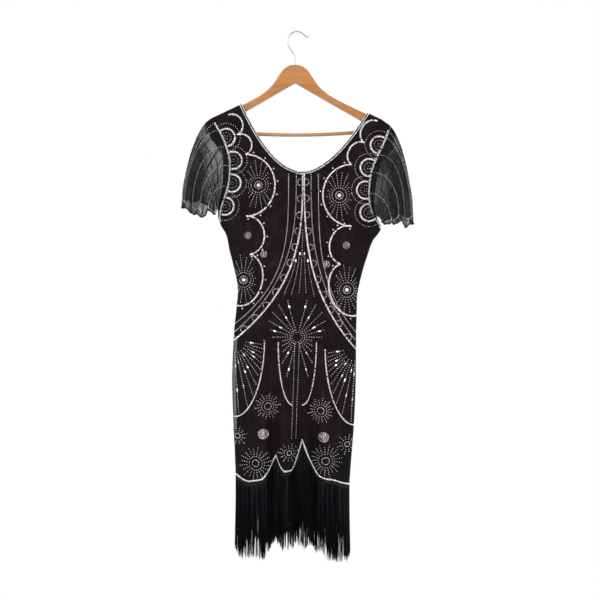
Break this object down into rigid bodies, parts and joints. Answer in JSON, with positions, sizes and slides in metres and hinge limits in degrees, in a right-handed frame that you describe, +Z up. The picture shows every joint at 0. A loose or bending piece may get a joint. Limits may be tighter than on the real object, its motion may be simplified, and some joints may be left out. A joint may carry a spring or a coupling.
{
  "type": "flapper dress on a coat hanger",
  "caption": "Short-sleeved sheath of black beaded net with a scooped neck, sheer fluted sleeves, scalloped hem and long fringe, hung on a wooden coat hanger with a trouser bar.",
  "frame": {"origin": "inside of the crown of the hanger's hook, where a rail carries it", "axes": "+Z up along the dress, -Y out of the front of the dress, +X to the right as the front is seen"},
  "size_m": [0.566, 0.0985, 1.2999],
  "materials": {
    "beaded_net": "black net over a black lining, sewn with beads",
    "sheer_net": "single black net, see-through, with rows of small beads",
    "silver_bead": "silver lined bugle beads and sequins",
    "fringe_thread": "twisted rayon threads with a soft sheen",
    "glass_stone": "pale faceted glass",
    "hanger_wood": "clear satin lacquer on pale orange brown wood",
    "hook_steel": "bright plated wire"
  },
  "bodies": {
    "root": {"front_yoke": "beaded_net", "front_waist": "beaded_net", "front_skirt": "beaded_net", "back_yoke": "beaded_net", "back_waist": "beaded_net", "back_skirt": "beaded_net", "sleeve_left": "sheer_net", "sleeve_right": "sheer_net", "neck_binding_front": "silver_bead", "neck_binding_back": "silver_bead", "fringe_front": "fringe_thread", "fringe_back": "fringe_thread", "stone_chest_left": "glass_stone", "stone_chest_right": "glass_stone", "stone_waist_left": "glass_stone", "stone_waist_right": "glass_stone", "hanger_body": "hanger_wood", "trouser_bar": "hanger_wood", "hook": "hook_steel"}
  },
  "joints": []
}
